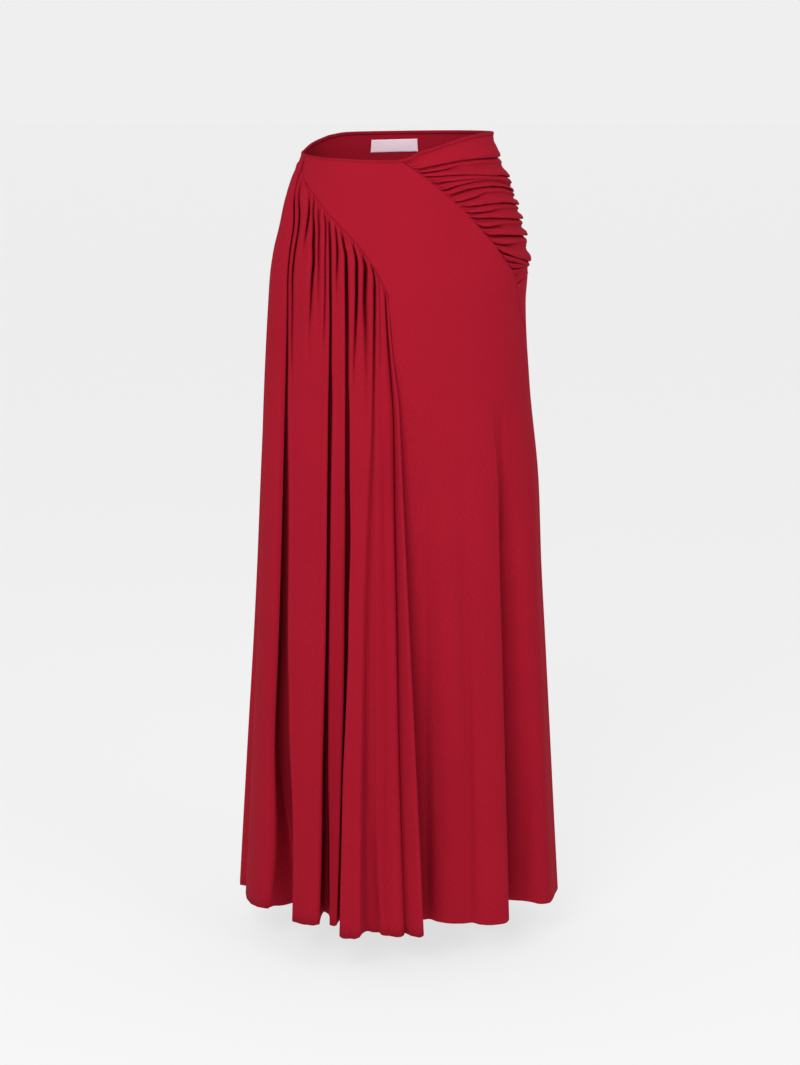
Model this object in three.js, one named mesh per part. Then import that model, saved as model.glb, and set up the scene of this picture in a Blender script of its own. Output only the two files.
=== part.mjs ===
import * as THREE from 'three';

// A long sleeveless-waisted skirt in soft red jersey, hanging round an empty form.
// Millimetres, +Z up, the front faces -Y. Height 0 is the middle of the slanting waist opening.
// A "turn" is the angle in degrees round the skirt: 0 front, 90 right, 180 back, -90 left.
// A "cut" is how far the cloth lies inside the skirt's outer envelope, in mm (negative stands proud).

const wallThickness = 1.5;
const seamGap = 0.4;
const edgeHeight = 3.5;
const edgeThickness = 3.0;
const edgeGap = 0.45;
const labelThickness = 0.5;
const labelGap = 0.3;
const hemHeight = -1016;
const leftSideSeam = -100;
const gatherPuff = 3.5;
const yokeColumns = [0, 0.025, 0.06, 0.11, 0.17, 0.24, 0.36, 0.49, 0.62, 0.75, 0.88, 1];

// Outer envelope: half-widths to the left and right, depths to the front and back.
const sections = [
  { height: 20, left: 119, right: 118, front: 90, back: 92 },
  { height: -12, left: 126, right: 125, front: 95, back: 97 },
  { height: -43, left: 138, right: 138, front: 101, back: 104 },
  { height: -74, left: 148, right: 149, front: 107, back: 111 },
  { height: -105, left: 155, right: 158, front: 112, back: 117 },
  { height: -136, left: 163, right: 165, front: 116, back: 122 },
  { height: -167, left: 168, right: 166, front: 120, back: 126 },
  { height: -203, left: 171, right: 164, front: 123, back: 129 },
  { height: -309, left: 178, right: 170, front: 130, back: 132 },
  { height: -443, left: 185, right: 184, front: 138, back: 139 },
  { height: -552, left: 190, right: 189, front: 146, back: 146 },
  { height: -663, left: 196, right: 196, front: 154, back: 153 },
  { height: -776, left: 203, right: 203, front: 163, back: 161 },
  { height: -890, left: 210, right: 210, front: 172, back: 169 },
  { height: -1016, left: 218, right: 218, front: 182, back: 178 },
];

// Top edge of the skirt all the way round.
const waistLine = [
  { turn: -130, height: 7 },
  { turn: -112, height: -2 },
  { turn: -96, height: -11 },
  { turn: -74, height: -14 },
  { turn: -40, height: -17.5 },
  { turn: -3, height: -19 },
  { turn: 4, height: -16 },
  { turn: 11, height: -9 },
  { turn: 21, height: -3 },
  { turn: 31, height: 3 },
  { turn: 44, height: 9 },
  { turn: 61, height: 13 },
  { turn: 90, height: 13.5 },
  { turn: 130, height: 13 },
  { turn: 180, height: 11.5 },
  { turn: 215, height: 10.5 },
  { turn: 230, height: 7 },
];

// Curved seam between the gathered drape and the smooth front.
const drapeSeam = [
  { turn: -74, height: -14 },
  { turn: -70, height: -29 },
  { turn: -65, height: -40 },
  { turn: -58, height: -50 },
  { turn: -48, height: -64 },
  { turn: -35, height: -89 },
  { turn: -20, height: -122 },
  { turn: -10, height: -157 },
  { turn: -5, height: -186 },
];

// Edge of the drape's last fold below that seam, how far the seam is tucked behind it in degrees,
// and the cut of the ridge along the edge.
const lastFoldEdge = [
  { height: -186, turn: -5, tuck: 0, ridge: 0 },
  { height: -260, turn: -3, tuck: 0, ridge: -5 },
  { height: -320, turn: -0.5, tuck: 0.1, ridge: -6 },
  { height: -420, turn: 1, tuck: 0.5, ridge: -6 },
  { height: -640, turn: 4, tuck: 2.6, ridge: -3 },
  { height: -890, turn: 7, tuck: 3.8, ridge: 2 },
  { height: -1016, turn: 8.2, tuck: 4, ridge: 4 },
];

// Diagonal seam between the front and the hip yoke, then the right side seam down to the hem.
const rightSeam = [
  { height: -19, turn: 1 },
  { height: -28, turn: 7 },
  { height: -42, turn: 14.5 },
  { height: -59, turn: 22.5 },
  { height: -81, turn: 32 },
  { height: -100, turn: 39 },
  { height: -122, turn: 46.5 },
  { height: -140, turn: 52.5 },
  { height: -159, turn: 60 },
  { height: -178, turn: 65 },
  { height: -213, turn: 70 },
  { height: -245, turn: 82 },
  { height: -290, turn: 94 },
  { height: -380, turn: 98 },
  { height: -1016, turn: 98 },
];

// Seam between the back of the yoke and the back panel, and the yoke's lower edge, both of straight runs.
const yokeBackSeam = [
  { height: 13, turn: 126 },
  { height: -52, turn: 120 },
  { height: -103, turn: 113 },
  { height: -140, turn: 106 },
  { height: -165, turn: 100 },
];
const yokeLowerEdge = [
  { turn: 65, height: -178 },
  { turn: 78, height: -171 },
  { turn: 90, height: -167 },
  { turn: 100, height: -165 },
];

// Folds of the drape from the left side seam to the front, one row each.
// Turns of the floor at the seam, hip, thigh and hem; depths below the seam, at the thigh, knee and hem;
// left and right are the widths of the two flanks at the hem in degrees, and ridge is the cut of the
// ridge that follows. A flank of negative width hangs over its own floor.
const drapeFolds = [
  { name: 'softSide', seam: -89, hip: -88, thigh: -88, hem: -88, upper: 0, mid: 3, low: 6, deep: 12, left: 7, right: 6, ridge: 4 },
  { name: 'sideGather', seam: -70, hip: -56, thigh: -53, hem: -50, upper: 6, mid: 15, low: 32, deep: 55, left: 15, right: 7, ridge: 9 },
  { name: 'sideCrease', seam: -65, hip: -52.5, thigh: -46, hem: -40, upper: 6, mid: 1, low: 0, deep: 0, left: 2, right: 2, ridge: 8 },
  { name: 'shortOne', seam: -54, hip: -47, thigh: -42, hem: -38.3, upper: 6, mid: 0, low: 0, deep: 0, left: 2, right: 2, ridge: 8 },
  { name: 'shortTwo', seam: -49, hip: -41, thigh: -39, hem: -36.8, upper: 7, mid: 1, low: 0, deep: 0, left: 2, right: 2, ridge: 8 },
  { name: 'shortThree', seam: -44.5, hip: -37.5, thigh: -36.3, hem: -35.5, upper: 5, mid: 1, low: 0, deep: 0, left: 2, right: 2, ridge: 8 },
  { name: 'besideMiddle', seam: -40.5, hip: -34, thigh: -33.6, hem: -34, upper: 5, mid: 0, low: 0, deep: 0, left: 1, right: 1, ridge: 9 },
  { name: 'middleGather', seam: -36.5, hip: -31, thigh: -29, hem: -30, upper: 5, mid: 11, low: 26, deep: 43, left: 3.6, right: 5.6, ridge: 22 },
  { name: 'shortFour', seam: -33, hip: -27.5, thigh: -25, hem: -23.6, upper: 4, mid: 0, low: 0, deep: 0, left: 0.8, right: 0.8, ridge: 22 },
  { name: 'overlap', seam: -28.5, hip: -23, thigh: -20.5, hem: -19.4, upper: 6, mid: 12, low: 22, deep: 36, left: 2.6, right: -1.2, ridge: -12 },
  { name: 'joinsOverlap', seam: -23, hip: -19, thigh: -17.8, hem: -17, upper: 7, mid: 2, low: 0, deep: 0, left: 1, right: 1, ridge: -12 },
  { name: 'shortFive', seam: -18, hip: -15, thigh: -15, hem: -14.4, upper: 6, mid: 2, low: 0, deep: 0, left: 1, right: 1, ridge: -9 },
  { name: 'longSoft', seam: -13.5, hip: -11, thigh: -12, hem: -10, upper: 5, mid: 5, low: 9, deep: 18, left: 4.4, right: 4.4, ridge: 4 },
  { name: 'lowSoft', seam: -9.8, hip: -8.6, thigh: -6.8, hem: -4, upper: 2, mid: 3, low: 3, deep: 2, left: 1.6, right: 1.6, ridge: 3 },
  { name: 'lastCrease', seam: -6.8, hip: -6.3, thigh: -1, hem: 1.8, upper: 4, mid: 4, low: 5, deep: 6, left: 1.8, right: 1.8, ridge: 3 },
];
const deepFolds = ['sideGather', 'middleGather', 'overlap', 'longSoft'];

// Lines down the front panel, one row each: the turn where it hangs free, and its cut by the knee and hem.
const frontLines = [
  { name: 'hollowByEdge', turn: 9.5, low: 22, hem: 59 },
  { name: 'hollowRise', turn: 13, low: 16, hem: 48 },
  { name: 'broadRidge', turn: 18, low: 9, hem: 38 },
  { name: 'softRise', turn: 22.5, low: 8, hem: 33 },
  { name: 'softValley', turn: 26, low: 10, hem: 29 },
  { name: 'softRidge', turn: 29.5, low: 3, hem: 18 },
  { name: 'flatLeft', turn: 35, low: 0, hem: 9 },
  { name: 'flatRight', turn: 40, low: 0, hem: 6 },
  { name: 'foldLip', turn: 43.2, low: 3, hem: 12 },
  { name: 'foldFlank', turn: 44.6, low: 20, hem: 42 },
  { name: 'foldFloor', turn: 47.5, low: 33, hem: 74 },
  { name: 'foldBed', turn: 53, low: 24, hem: 60 },
  { name: 'foldSlope', turn: 59.5, low: 10, hem: 38 },
  { name: 'foldShoulder', turn: 64.5, low: 3, hem: 12 },
  { name: 'sideRound', turn: 71, low: 0, hem: 2 },
  { name: 'sideFlat', turn: 80, low: 2, hem: 3 },
  { name: 'sideBack', turn: 89, low: 0, hem: 0 },
];

// Gathers of the yoke from the waist down, one row each: heights on the front seam and at the side,
// depth of the furrow, and the turn by which it has faded.
const yokeFolds = [
  { name: 'y1', seam: -29, side: -12, depth: 4, reach: 140 },
  { name: 'y2', seam: -35, side: -20, depth: 2, reach: 62 },
  { name: 'y3', seam: -42, side: -29, depth: 4, reach: 140 },
  { name: 'y4', seam: -56, side: -45, depth: 5, reach: 140 },
  { name: 'y5', seam: -61, side: -54, depth: 5, reach: 120 },
  { name: 'y6', seam: -69, side: -60, depth: 4, reach: 84 },
  { name: 'y7', seam: -75, side: -66, depth: 5, reach: 140 },
  { name: 'y8', seam: -81, side: -84, depth: 6, reach: 140 },
  { name: 'y9', seam: -87, side: -93, depth: 3, reach: 62 },
  { name: 'y10', seam: -95, side: -105, depth: 6, reach: 140 },
  { name: 'y11', seam: -100, side: -109, depth: 3, reach: 54 },
  { name: 'y12', seam: -106, side: -114, depth: 4, reach: 90 },
  { name: 'y13', seam: -115, side: -121, depth: 5, reach: 140 },
  { name: 'y14', seam: -124, side: -144, depth: 6, reach: 112 },
  { name: 'y15', seam: -138, side: -149, depth: 4, reach: 66 },
  { name: 'y16', seam: -153, side: -155, depth: 6, reach: 140 },
  { name: 'y17', seam: -161, side: -160, depth: 3, reach: 74 },
];

// Heights of the rows that the front and the back share below the yoke.
const hangingHeights = [
  -178, -189, -205, -224, -245, -268, -295, -330, -375, -430, -495, -565, -640, -715, -795, -870, -945, hemHeight,
];

// Soft folds of the back panel, one row each: turn of the floor, where it begins, its depth by the
// knee and at the hem, and half its width at the hem in degrees.
const backFolds = [
  { name: 'b1', turn: 112, drift: 2, start: -330, low: 8, deep: 22, half: 7.5 },
  { name: 'b2', turn: 131, drift: -1, start: -260, low: 14, deep: 34, half: 8 },
  { name: 'b3', turn: 151, drift: 3, start: -420, low: 7, deep: 24, half: 7.5 },
  { name: 'b4', turn: 172, drift: -2, start: -240, low: 16, deep: 38, half: 9 },
  { name: 'b5', turn: 194, drift: 2, start: -380, low: 9, deep: 27, half: 8 },
  { name: 'b6', turn: 215, drift: -3, start: -290, low: 15, deep: 36, half: 8.5 },
  { name: 'b7', turn: 237, drift: 2, start: -350, low: 9, deep: 24, half: 8 },
];

const red = { color: 0x9f2236, roughness: 0.88, metalness: 0 };
const colours = {
  front_panel: red,
  left_drape: { color: 0x9d2135, roughness: 0.88, metalness: 0 },
  hip_yoke: { color: 0xa12337, roughness: 0.88, metalness: 0 },
  back_panel: { color: 0x96202f, roughness: 0.88, metalness: 0 },
  waist_edge: { color: 0x8e1c2c, roughness: 0.8, metalness: 0 },
  label: { color: 0xddc6d1, roughness: 0.6, metalness: 0 },
};

const clamp = (value, low, high) => Math.min(high, Math.max(low, value));
const mix = (a, b, t) => a + (b - a) * t;
const ease = (t) => { const c = clamp(t, 0, 1); return c * c * (3 - 2 * c); };
const radians = (turn) => turn * Math.PI / 180;
const degrees = (angle) => angle * 180 / Math.PI;

// Smooth reading of a table: the value of one column where another column has a given value.
function read(rows, from, to, at) {
  const up = rows[rows.length - 1][from] > rows[0][from];
  const list = up ? rows : [...rows].reverse();
  if (at <= list[0][from]) return list[0][to];
  const last = list.length - 1;
  if (at >= list[last][from]) return list[last][to];
  let k = 0;
  while (at > list[k + 1][from]) k += 1;
  const slope = (i) => (list[i + 1][to] - list[i][to]) / (list[i + 1][from] - list[i][from]);
  const tangent = (i) => {
    if (i <= 0 || i >= last) return slope(clamp(i, 0, last - 1));
    const a = slope(i - 1);
    const b = slope(i);
    return a * b <= 0 ? 0 : 2 * a * b / (a + b);
  };
  const span = list[k + 1][from] - list[k][from];
  const t = (at - list[k][from]) / span;
  const bend = t * t * (3 - 2 * t);
  return mix(list[k][to], list[k + 1][to], bend)
    + span * tangent(k) * t * (1 - t) ** 2
    - span * tangent(k + 1) * t * t * (1 - t);
}

// Straight reading of a table.
function readStraight(rows, from, to, at) {
  const list = rows[rows.length - 1][from] > rows[0][from] ? rows : [...rows].reverse();
  const k = clamp(list.findIndex((row) => row[from] > at), 1, list.length - 1);
  const a = list[k - 1];
  const b = at > list[list.length - 1][from] ? list[list.length - 1] : list[k];
  return mix(a[to], b[to], clamp((at - a[from]) / (b[from] - a[from]), 0, 1));
}

const waistHeight = (turn) => read(waistLine, 'turn', 'height', turn > 230 ? turn - 360 : turn);

// A point of the cloth. On the front, cuts go mostly straight back, as the folds there hang.
function place(turn, height, cut) {
  const angle = radians(turn);
  const x = Math.sin(angle) * read(sections, 'height', Math.sin(angle) < 0 ? 'left' : 'right', height);
  const y = -Math.cos(angle) * read(sections, 'height', Math.cos(angle) > 0 ? 'front' : 'back', height);
  const aim = radians(Math.abs(turn) <= 90 ? turn * Math.abs(turn) / 90 : turn);
  return new THREE.Vector3(x - cut * Math.sin(aim), y + cut * Math.cos(aim), height);
}

// A closed wall of even thickness on a grid of points (columns across, rows from the top down).
function wall(grid, thickness, shift = 0) {
  const columns = grid.length;
  const rows = grid[0].length;
  const normals = grid.map((column, i) => column.map((point, j) => {
    const across = grid[Math.min(i + 1, columns - 1)][j].clone().sub(grid[Math.max(i - 1, 0)][j]);
    const down = column[Math.min(j + 1, rows - 1)].clone().sub(column[Math.max(j - 1, 0)]);
    return down.cross(across).normalize();
  }));
  const points = [];
  for (const offset of [shift + thickness / 2, shift - thickness / 2]) {
    grid.forEach((column, i) => column.forEach((point, j) => {
      points.push(point.clone().addScaledVector(normals[i][j], offset));
    }));
  }
  const at = (side, i, j) => side * columns * rows + i * rows + j;
  const faces = [];
  const quad = (a, b, c, d) => faces.push(a, b, c, a, c, d);
  for (let i = 0; i < columns - 1; i += 1) {
    for (let j = 0; j < rows - 1; j += 1) {
      quad(at(0, i, j), at(0, i, j + 1), at(0, i + 1, j + 1), at(0, i + 1, j));
      quad(at(1, i, j), at(1, i + 1, j), at(1, i + 1, j + 1), at(1, i, j + 1));
    }
    quad(at(0, i, 0), at(0, i + 1, 0), at(1, i + 1, 0), at(1, i, 0));
    quad(at(0, i + 1, rows - 1), at(0, i, rows - 1), at(1, i, rows - 1), at(1, i + 1, rows - 1));
  }
  for (let j = 0; j < rows - 1; j += 1) {
    quad(at(0, 0, j + 1), at(0, 0, j), at(1, 0, j), at(1, 0, j + 1));
    quad(at(0, columns - 1, j), at(0, columns - 1, j + 1), at(1, columns - 1, j + 1), at(1, columns - 1, j));
  }
  return solid(points, faces);
}

function solid(points, faces) {
  const geometry = new THREE.BufferGeometry();
  geometry.setAttribute('position', new THREE.Float32BufferAttribute(points.flatMap((p) => [p.x, p.y, p.z]), 3));
  geometry.setIndex(faces);
  geometry.computeVertexNormals();
  return geometry;
}

// Rows that stand closer together near the top, where the gathers are short.
function rowFractions(count, crowding) {
  return Array.from({ length: count }, (_, j) =>
    (Math.exp(crowding * j / (count - 1)) - 1) / (Math.exp(crowding) - 1));
}

const tuckedSeam = (height) =>
  read(lastFoldEdge, 'height', 'turn', height) - read(lastFoldEdge, 'height', 'tuck', height);

// Cut of the front panel at a turn and height, smooth between its lines.
function frontCut(turn, height) {
  const grow = (low, hem) => {
    const knee = ease((-330 - height) / 420);
    const foot = clamp((-640 - height) / 376, 0, 1);
    return low * knee + (hem - low) * foot ** 1.15;
  };
  const rows = [
    { turn: tuckedSeam(height) - 3, cut: grow(22, 60) },
    ...frontLines.map((line) => ({ turn: line.turn, cut: grow(line.low, line.hem) })),
    { turn: 98, cut: 0 },
  ];
  const clear = rows.filter((row, k) => k === 0 || row.turn > rows[0].turn + 1);
  return read(clear, 'turn', 'cut', turn);
}

// One column of the drape: where its turn and cut go from the seam to the hem.
function drapeColumn(fold, before, after, side) {
  const leftRidge = before ? before.ridge : -4;
  return (height, top) => {
    const hipHeight = Math.min(-180, top - 50);
    const turnOf = (f) => read([
      { height: top, turn: f.seam },
      { height: hipHeight, turn: f.hip },
      { height: -640, turn: f.thigh },
      { height: hemHeight, turn: f.hem },
    ], 'height', 'turn', height);
    const drop = ease((top - height) / 32);
    const grow = ease((-230 - height) / 786);
    const depth = drop * read([
      { height: 0, depth: fold.upper },
      { height: hipHeight, depth: fold.upper },
      { height: -400, depth: fold.mid },
      { height: -700, depth: fold.low },
      { height: hemHeight, depth: fold.deep },
    ], 'height', 'depth', height);
    const middle = turnOf(fold);
    const beside = side < 0 ? (before ? turnOf(before) : leftSideSeam) : (after ? turnOf(after) : middle + 2);
    const gap = Math.abs(beside - middle);
    const wanted = mix(4.2, side < 0 ? fold.left : fold.right, ease((-180 - height) / 500));
    const reach = Math.min(wanted, gap * 0.44);
    const share = Math.abs(side);
    const ridge = side < 0 ? leftRidge : fold.ridge;
    const floorRidge = (leftRidge + fold.ridge) / 2;
    const profile = share > 0.9 ? 0.1 : share > 0.6 ? 0.34 : share > 0.2 ? 0.62 : 1;
    return {
      turn: middle + side * reach,
      cut: mix(floorRidge, ridge, ease(share)) * grow + depth * profile,
    };
  };
}

function ridgeColumn(fold, after) {
  return (height, top) => {
    const left = drapeColumn(fold, null, after, 1)(height, top);
    const right = after ? drapeColumn(after, fold, null, -1)(height, top) : { turn: left.turn + 1 };
    return { turn: (left.turn + right.turn) / 2, cut: fold.ridge * ease((-230 - height) / 786) };
  };
}

function drapeTop(turn) {
  if (turn < drapeSeam[0].turn) return waistHeight(turn) - edgeHeight - edgeGap;
  return Math.min(read(drapeSeam, 'turn', 'height', turn), waistHeight(turn) - edgeHeight - edgeGap);
}

// Turn of the curved seam at a height, found by halving.
function drapeSeamTurn(height) {
  let low = drapeSeam[0].turn;
  let high = drapeSeam[drapeSeam.length - 1].turn;
  for (let step = 0; step < 30; step += 1) {
    const middle = (low + high) / 2;
    if (read(drapeSeam, 'turn', 'height', middle) > height) low = middle;
    else high = middle;
  }
  return (low + high) / 2;
}

function leftDrape() {
  const columns = [];
  const add = (seamTurn, where) => columns.push({ seamTurn, where });
  [leftSideSeam, -96, -92.5].forEach((turn, k) => add(turn, (height) => ({
    turn: turn - [0, 0, 0.5][k],
    cut: [-2, -6, -2][k] * ease((-230 - height) / 786),
  })));
  drapeFolds.forEach((fold, k) => {
    const before = drapeFolds[k - 1];
    const after = drapeFolds[k + 1];
    const sides = deepFolds.includes(fold.name) ? [-1, -0.5, 0, 0.5, 1] : [-0.8, 0, 0.8];
    for (const side of sides) {
      const beside = side < 0 ? (before ? before.seam : leftSideSeam) : (after ? after.seam : fold.seam + 1.5);
      const reach = Math.min(4.2, Math.abs(beside - fold.seam) * 0.44);
      add(fold.seam + side * reach, drapeColumn(fold, before, after, side));
    }
    if (after) add((fold.seam + after.seam) / 2, ridgeColumn(fold, after));
  });
  const edge = drapeSeam[drapeSeam.length - 1].turn;
  const edgeTurn = (height) => read(lastFoldEdge, 'height', 'turn', height);
  const lap = (height) => (wallThickness + edgeGap) * ease((-190 - height) / 30);
  const lastRidge = (height) => read(lastFoldEdge, 'height', 'ridge', height);
  const innerCut = (height) => frontCut(tuckedSeam(height), height) - lap(height);
  add(edge - 0.55, (height) => ({
    turn: edgeTurn(height) - mix(0.6, 1.3, ease((-186 - height) / 700)),
    cut: lastRidge(height),
  }));
  add(edge - 0.3, (height) => ({ turn: edgeTurn(height) - 0.1, cut: lastRidge(height) + 1.2 }));
  add(edge - 0.15, (height) => ({
    turn: mix(edgeTurn(height), tuckedSeam(height), 0.35),
    cut: mix(lastRidge(height), innerCut(height), 0.5),
  }));
  add(edge, (height) => ({ turn: tuckedSeam(height), cut: innerCut(height) }));

  const fractions = rowFractions(29, 2.3);
  return columns.map(({ seamTurn, where }) => {
    const top = drapeTop(seamTurn);
    return fractions.map((fraction) => {
      const height = mix(top, hemHeight, fraction);
      const { turn, cut } = fraction === 0 ? { turn: seamTurn, cut: 0 } : where(height, top);
      const puff = gatherPuff * ease((top - height) / 30) * ease((height + 700) / 400);
      const onGathers = ease((turn + 84) / 12) * ease((-6 - turn) / 6 + 0.4);
      return place(turn, height, cut - puff * onGathers);
    });
  });
}

function frontPanel() {
  const rowHeights = [-17, -25, -34, -44, -55, -67, -80, -95, -112, -130, -148, -164, ...hangingHeights];
  const count = frontLines.length + 1;
  const gapTurn = degrees(seamGap / 125);
  const underTurn = degrees(1.6 / 150);
  const leftTurn = (height) => {
    if (height > lastFoldEdge[0].height) return drapeSeamTurn(height) + gapTurn * 2;
    const open = gapTurn * 2 * (1 - ease((-222 - height) / 20));
    return tuckedSeam(height) + open - underTurn * ease((-232 - height) / 40);
  };
  const rightTurn = (height) => read(rightSeam, 'height', 'turn', height) - gapTurn;
  return Array.from({ length: count + 1 }, (_, i) => rowHeights.map((level, j) => {
    const left = leftTurn(level);
    const right = rightTurn(level);
    const hanging = i === 0 ? left : i === count ? right : frontLines[i - 1].turn;
    const turn = mix(mix(left, right, i / count), hanging, ease((-200 - level) / 190));
    const height = j === 0 ? waistHeight(turn) - edgeHeight - edgeGap : level;
    return place(turn, height, frontCut(turn, level));
  }));
}

// One line of the yoke from the front seam round to its back seam, as points of turn and height.
function yokeLine(seam, side) {
  const gapTurn = degrees(seamGap / 150);
  const from = read(rightSeam, 'height', 'turn', seam) + gapTurn;
  const to = readStraight(yokeBackSeam, 'height', 'turn', side) - gapTurn * 3;
  return yokeColumns.map((share) => {
    const turn = mix(from, to, share);
    const run = clamp((turn - from) / (90 - from), 0, 1);
    return { turn, height: mix(seam, side, 1 - (1 - run) ** 2.1) };
  });
}

function hipYoke() {
  const firstTurn = 3;
  const top = yokeColumns.map((share) => {
    const turn = mix(firstTurn, yokeBackSeam[0].turn - 0.6, share);
    return { turn, height: waistHeight(turn) - edgeHeight - edgeGap };
  });
  const bottom = yokeColumns.map((share) => {
    const turn = mix(yokeLowerEdge[0].turn + 0.3, yokeLowerEdge[3].turn - 0.3, share);
    return { turn, height: readStraight(yokeLowerEdge, 'turn', 'height', turn) + seamGap * 2 };
  });
  const lines = [
    { line: top, depth: 0, reach: 140 },
    ...yokeFolds.map((fold) => ({ line: yokeLine(fold.seam, fold.side), depth: fold.depth, reach: fold.reach })),
    { line: bottom, depth: 0.5, reach: 140 },
  ];
  const grid = yokeColumns.map(() => []);
  lines.forEach((row, k) => {
    const next = lines[k + 1];
    const steps = next ? (k === 0 ? [0, 0.5] : [0, 0.35, 0.8]) : [0];
    for (const step of steps) {
      yokeColumns.forEach((share, i) => {
        const here = row.line[i];
        const there = next ? next.line[i] : here;
        const turn = mix(here.turn, there.turn, step);
        const height = mix(here.height, there.height, step);
        const fade = (fold) => 1 - ease((turn - fold.reach + 22) / 22);
        const start = ease(share / 0.12 + 0.35) * (1 - ease((share - 0.94) / 0.06));
        const furrow = step === 0 ? row.depth * fade(row) : 0;
        const between = next ? mix(row.depth * fade(row), next.depth * fade(next), step) : 0;
        const bulge = step === 0 ? 0 : between * (step < 0.5 ? 0.16 : 0.34);
        const cut = (furrow * 0.62 - bulge) * start;
        grid[i].push(place(turn, height, k === 0 && step === 0 ? 0 : cut));
      });
    }
  });
  return grid;
}

function backCut(turn, height) {
  let cut = -4 * ease((-300 - height) / 700);
  for (const fold of backFolds) {
    const centre = fold.turn + fold.drift * clamp((-600 - height) / 416, -1, 1);
    const half = fold.half * mix(0.75, 1, clamp(-height / 1016, 0, 1));
    const away = Math.abs(turn - centre) / half;
    if (away < 1) {
      const knee = ease((fold.start - height) / (700 + fold.start));
      const foot = clamp((-700 - height) / 316, 0, 1);
      cut += (fold.low * knee + (fold.deep - fold.low) * foot + 4 * foot) * (0.5 + 0.5 * Math.cos(Math.PI * away));
    }
  }
  return cut;
}

function backPanel() {
  const sideColumns = [
    { top: 65, hem: 98 },
    { top: 78, hem: 99.5 },
    { top: 90, hem: 101.5 },
    { top: 100, hem: 103.4 },
    { top: 106, hem: 105.6 },
    { top: 113, hem: 108.8 },
    { top: 120, hem: 112 },
    { top: 126, hem: 116 },
  ];
  const freeColumns = backFolds.slice(1).flatMap((fold) =>
    [-1, -0.5, 0, 0.5, 1].map((side) => ({ fold, side })));
  const seamPart = (height) => Math.max(0, (read(rightSeam, 'height', 'turn', height) - 65) / 33);
  const topOf = (turn) => {
    if (turn <= 100) return readStraight(yokeLowerEdge, 'turn', 'height', turn);
    if (turn < yokeBackSeam[0].turn) return readStraight(yokeBackSeam, 'turn', 'height', turn);
    return waistHeight(turn) - edgeHeight - edgeGap;
  };
  const columns = [
    ...sideColumns.map(({ top, hem }, k) => ({
      top: topOf(top),
      turnAt: (height) => mix(top, hem, seamPart(height)) + (k === 0 ? degrees(seamGap / 160) : 0),
    })),
    ...freeColumns.map(({ fold, side }) => {
      const hem = fold.turn + side * fold.half;
      const top = hem + 4.5 * clamp((139 - hem) / 16, 0, 1);
      return {
        top: topOf(top),
        turnAt: (height) => mix(top, hem, clamp(seamPart(height), 0, 1))
          + fold.drift * clamp((-600 - height) / 416, -1, 1) * ease((-100 - height) / 400),
      };
    }),
    { top: topOf(250), turnAt: () => 250 },
    { top: topOf(255), turnAt: () => 255 },
    { top: topOf(259.8), turnAt: () => 359.8 + leftSideSeam },
  ];
  const fractions = hangingHeights.map((height) =>
    (hangingHeights[0] - height) / (hangingHeights[0] - hemHeight));
  return columns.map(({ top, turnAt }) => fractions.map((fraction) => {
    const height = mix(top, hemHeight, fraction);
    const turn = turnAt(height);
    return place(turn, height, backCut(turn, height));
  }));
}

// The narrow bound edge: a closed ring whose section has a rounded outside.
function waistEdge() {
  const section = [
    { out: -0.5, up: 0 },
    { out: 0.38, up: 0 },
    { out: 0.5, up: 0.5 },
    { out: 0.36, up: 1 },
    { out: -0.36, up: 1 },
    { out: -0.5, up: 0.5 },
  ];
  const turns = [];
  for (let turn = -180; turn < 180; turn += turn >= -12 && turn < 36 ? 2.4 : 5) turns.push(turn);
  const points = [];
  const faces = [];
  turns.forEach((turn, i) => {
    const height = waistHeight(turn < -130 ? turn + 360 : turn);
    const ahead = place(turn + 1, height, 0).sub(place(turn - 1, height, 0));
    const outward = new THREE.Vector3(ahead.y, -ahead.x, 0).normalize();
    section.forEach(({ out, up }, k) => {
      const point = place(turn, height, 0).addScaledVector(outward, out * edgeThickness);
      point.z = height - edgeHeight + up * edgeHeight;
      points.push(point);
      const next = (i + 1) % turns.length;
      const after = (k + 1) % section.length;
      const a = i * section.length + k;
      const b = next * section.length + k;
      const c = next * section.length + after;
      const d = i * section.length + after;
      faces.push(a, b, c, a, c, d);
    });
  });
  return solid(points, faces);
}

// The bare label, laid on the inner face of the back.
function labelGrid() {
  const inset = wallThickness / 2 + labelGap + labelThickness / 2;
  return [169, 174, 179, 184, 189, 193.5, 198].map((turn, i) => [0, 0.5, 1].map((share) => {
    const height = mix(1.2, -15.5, share) - i * 0.25;
    return place(turn, height, inset);
  }));
}

function build() {
  const group = new THREE.Group();
  group.name = 'skirt';
  const add = (name, geometry) => {
    const mesh = new THREE.Mesh(geometry, new THREE.MeshStandardMaterial(colours[name]));
    mesh.name = name;
    group.add(mesh);
  };
  add('front_panel', wall(frontPanel(), wallThickness));
  add('left_drape', wall(leftDrape(), wallThickness));
  add('hip_yoke', wall(hipYoke(), wallThickness));
  add('back_panel', wall(backPanel(), wallThickness));
  add('waist_edge', waistEdge());
  add('label', wall(labelGrid(), labelThickness));
  return group;
}

const group = build();
export default group;
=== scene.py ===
import math

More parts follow.
